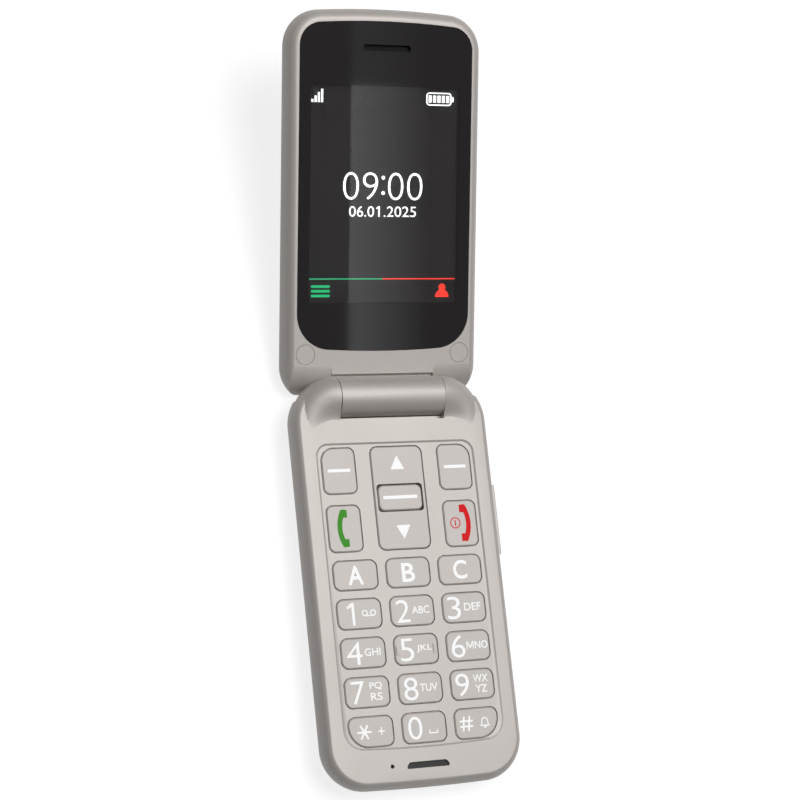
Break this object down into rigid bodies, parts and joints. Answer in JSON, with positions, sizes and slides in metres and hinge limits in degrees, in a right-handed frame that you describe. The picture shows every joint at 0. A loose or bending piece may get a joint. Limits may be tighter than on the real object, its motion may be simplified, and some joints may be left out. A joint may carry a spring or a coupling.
{
  "type": "clamshell mobile phone",
  "caption": "Clamshell mobile phone with large keys, standing open: hinged display half, keypad half with travelling keys, battery cover that lifts off.",
  "frame": {"origin": "centre of the flat back of the keypad half, on which the phone lies", "axes": "+X to the phone's right, +Y from the keypad to the hinge and the open lid, +Z out of the keypad"},
  "size_m": [0.0567, 0.2043, 0.0351],
  "materials": {
    "champagne_shell": "satin champagne-silver paint on moulded plastic",
    "key_plastic": "satin champagne-silver, legends printed white, green and red",
    "dark_plastic": "satin",
    "inner_plastic": "moulded, as made",
    "steel": "bright",
    "black_window": "polished, printed black from behind round the picture",
    "rubber": "moulded silicone",
    "board": "green solder mask"
  },
  "bodies": {
    "base": {"alarm_switch": "inner_plastic", "antenna": "inner_plastic", "base_front_housing": "champagne_shell", "base_rear_housing": "champagne_shell", "base_screws": "steel", "battery_contacts": "inner_plastic", "battery_pack": "inner_plastic", "dome_sheet": "steel", "hinge_cam_shaft": "steel", "hinge_pin": "steel", "key_mat": "rubber", "lid_sensor": "inner_plastic", "loudspeaker": "inner_plastic", "main_board": "board", "microphone": "inner_plastic", "shield_can": "steel", "sim_holder": "steel", "sound_grille": "dark_plastic", "usb_connector": "steel", "vibration_motor": "steel"},
    "lid": {"lid_front_housing": "champagne_shell", "lid_rear_housing": "champagne_shell", "display_window": "black_window", "earpiece_mesh": "steel", "earpiece_speaker": "inner_plastic", "lcd_module": "inner_plastic", "camera_lens": "black_window", "camera_module": "inner_plastic", "flash_led": "inner_plastic", "display_flex": "inner_plastic", "hinge_cartridge": "steel", "lid_magnet": "steel", "lid_board": "board", "screw_caps": "champagne_shell", "lid_screws": "steel"},
    "nav_rocker": {"nav_rocker": "key_plastic"},
    "volume_rocker": {"volume_rocker": "champagne_shell"},
    "alarm_key": {"alarm_key": "dark_plastic"},
    "battery_cover": {"battery_cover": "champagne_shell"},
    "key_0": {"key_0": "key_plastic"},
    "key_1": {"key_1": "key_plastic"},
    "key_2": {"key_2": "key_plastic"},
    "key_3": {"key_3": "key_plastic"},
    "key_4": {"key_4": "key_plastic"},
    "key_5": {"key_5": "key_plastic"},
    "key_6": {"key_6": "key_plastic"},
    "key_7": {"key_7": "key_plastic"},
    "key_8": {"key_8": "key_plastic"},
    "key_9": {"key_9": "key_plastic"},
    "key_a": {"key_a": "key_plastic"},
    "key_b": {"key_b": "key_plastic"},
    "key_c": {"key_c": "key_plastic"},
    "key_call": {"key_call": "key_plastic"},
    "key_end": {"key_end": "key_plastic"},
    "key_hash": {"key_hash": "key_plastic"},
    "key_select": {"key_select": "key_plastic"},
    "key_soft_left": {"key_soft_left": "key_plastic"},
    "key_soft_right": {"key_soft_right": "key_plastic"},
    "key_star": {"key_star": "key_plastic"}
  },
  "joints": [
    {"name": "lid_hinge", "type": "hinge", "parent": "base", "child": "lid", "pos_m": [0, 0.0486, 0.00891], "axis": [1, 0, 0], "range_deg": [0, 163.24]},
    {"name": "key_0_press", "type": "slide", "parent": "base", "child": "key_0", "axis": [0, 0, -1], "range_m": [0, 0.00035], "stiffness_N_per_m": 2000, "springref_m": -0.0001},
    {"name": "key_1_press", "type": "slide", "parent": "base", "child": "key_1", "axis": [0, 0, -1], "range_m": [0, 0.00035], "stiffness_N_per_m": 2000, "springref_m": -0.0001},
    {"name": "key_2_press", "type": "slide", "parent": "base", "child": "key_2", "axis": [0, 0, -1], "range_m": [0, 0.00035], "stiffness_N_per_m": 2000, "springref_m": -0.0001},
    {"name": "key_3_press", "type": "slide", "parent": "base", "child": "key_3", "axis": [0, 0, -1], "range_m": [0, 0.00035], "stiffness_N_per_m": 2000, "springref_m": -0.0001},
    {"name": "key_4_press", "type": "slide", "parent": "base", "child": "key_4", "axis": [0, 0, -1], "range_m": [0, 0.00035], "stiffness_N_per_m": 2000, "springref_m": -0.0001},
    {"name": "key_5_press", "type": "slide", "parent": "base", "child": "key_5", "axis": [0, 0, -1], "range_m": [0, 0.00035], "stiffness_N_per_m": 2000, "springref_m": -0.0001},
    {"name": "key_6_press", "type": "slide", "parent": "base", "child": "key_6", "axis": [0, 0, -1], "range_m": [0, 0.00035], "stiffness_N_per_m": 2000, "springref_m": -0.0001},
    {"name": "key_7_press", "type": "slide", "parent": "base", "child": "key_7", "axis": [0, 0, -1], "range_m": [0, 0.00035], "stiffness_N_per_m": 2000, "springref_m": -0.0001},
    {"name": "key_8_press", "type": "slide", "parent": "base", "child": "key_8", "axis": [0, 0, -1], "range_m": [0, 0.00035], "stiffness_N_per_m": 2000, "springref_m": -0.0001},
    {"name": "key_9_press", "type": "slide", "parent": "base", "child": "key_9", "axis": [0, 0, -1], "range_m": [0, 0.00035], "stiffness_N_per_m": 2000, "springref_m": -0.0001},
    {"name": "key_a_press", "type": "slide", "parent": "base", "child": "key_a", "axis": [0, 0, -1], "range_m": [0, 0.00035], "stiffness_N_per_m": 2000, "springref_m": -0.0001},
    {"name": "key_b_press", "type": "slide", "parent": "base", "child": "key_b", "axis": [0, 0, -1], "range_m": [0, 0.00035], "stiffness_N_per_m": 2000, "springref_m": -0.0001},
    {"name": "key_c_press", "type": "slide", "parent": "base", "child": "key_c", "axis": [0, 0, -1], "range_m": [0, 0.00035], "stiffness_N_per_m": 2000, "springref_m": -0.0001},
    {"name": "key_call_press", "type": "slide", "parent": "base", "child": "key_call", "axis": [0, 0, -1], "range_m": [0, 0.00035], "stiffness_N_per_m": 2000, "springref_m": -0.0001},
    {"name": "key_end_press", "type": "slide", "parent": "base", "child": "key_end", "axis": [0, 0, -1], "range_m": [0, 0.00035], "stiffness_N_per_m": 2000, "springref_m": -0.0001},
    {"name": "key_hash_press", "type": "slide", "parent": "base", "child": "key_hash", "axis": [0, 0, -1], "range_m": [0, 0.00035], "stiffness_N_per_m": 2000, "springref_m": -0.0001},
    {"name": "key_select_press", "type": "slide", "parent": "base", "child": "key_select", "axis": [0, 0, -1], "range_m": [0, 0.00035], "stiffness_N_per_m": 2000, "springref_m": -0.0001},
    {"name": "key_soft_left_press", "type": "slide", "parent": "base", "child": "key_soft_left", "axis": [0, 0, -1], "range_m": [0, 0.00035], "stiffness_N_per_m": 2000, "springref_m": -0.0001},
    {"name": "key_soft_right_press", "type": "slide", "parent": "base", "child": "key_soft_right", "axis": [0, 0, -1], "range_m": [0, 0.00035], "stiffness_N_per_m": 2000, "springref_m": -0.0001},
    {"name": "key_star_press", "type": "slide", "parent": "base", "child": "key_star", "axis": [0, 0, -1], "range_m": [0, 0.00035], "stiffness_N_per_m": 2000, "springref_m": -0.0001},
    {"name": "nav_rocker_tip", "type": "hinge", "parent": "base", "child": "nav_rocker", "pos_m": [0, 0.0209, 0.00932], "axis": [1, 0, 0], "range_deg": [-1.5, 1.5], "stiffness_Nm_per_rad": 0.5},
    {"name": "volume_rocker_tip", "type": "hinge", "parent": "base", "child": "volume_rocker", "pos_m": [0.0258, 0.014, 0.0082], "axis": [0, 0, 1], "range_deg": [-1.5, 1.5], "stiffness_Nm_per_rad": 0.3},
    {"name": "alarm_key_press", "type": "slide", "parent": "base", "child": "alarm_key", "axis": [0, 0, 1], "range_m": [0, 0.0005], "stiffness_N_per_m": 2000, "springref_m": -0.0001},
    {"name": "battery_cover_off", "type": "slide", "parent": "base", "child": "battery_cover", "axis": [0, 0, -1], "range_m": [0, 0.025]}
  ]
}
